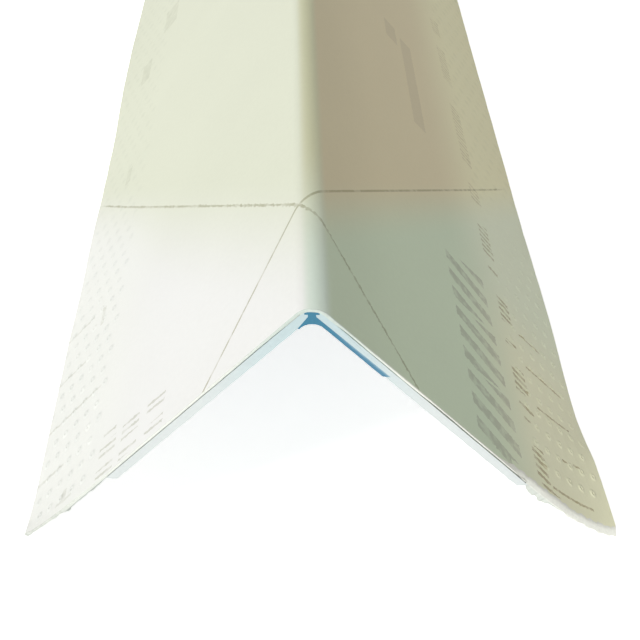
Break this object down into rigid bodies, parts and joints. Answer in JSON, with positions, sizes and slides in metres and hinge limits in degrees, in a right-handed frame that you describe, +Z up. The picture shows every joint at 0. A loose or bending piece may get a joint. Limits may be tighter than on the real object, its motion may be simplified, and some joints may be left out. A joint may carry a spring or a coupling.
{
  "type": "outside corner trim",
  "caption": "Angled strip of paper-faced plastic trim that wraps the outside corner of wall boards, with a rounded nose, a soft hinge strip and thin paper flanges.",
  "frame": {"origin": "bottom centre of the bounding box, midway along the length, on the level of the two flange edges", "axes": "+Z up to the nose, +Y along the trim away from the end that is shown, +X to the right leg"},
  "size_m": [0.05, 2.4384, 0.0282],
  "materials": {
    "paper": "matte",
    "core": "satin",
    "hinge": "satin"
  },
  "bodies": {
    "root": {"face_paper": "paper", "left_core": "core", "right_core": "core", "hinge": "hinge"}
  },
  "joints": []
}
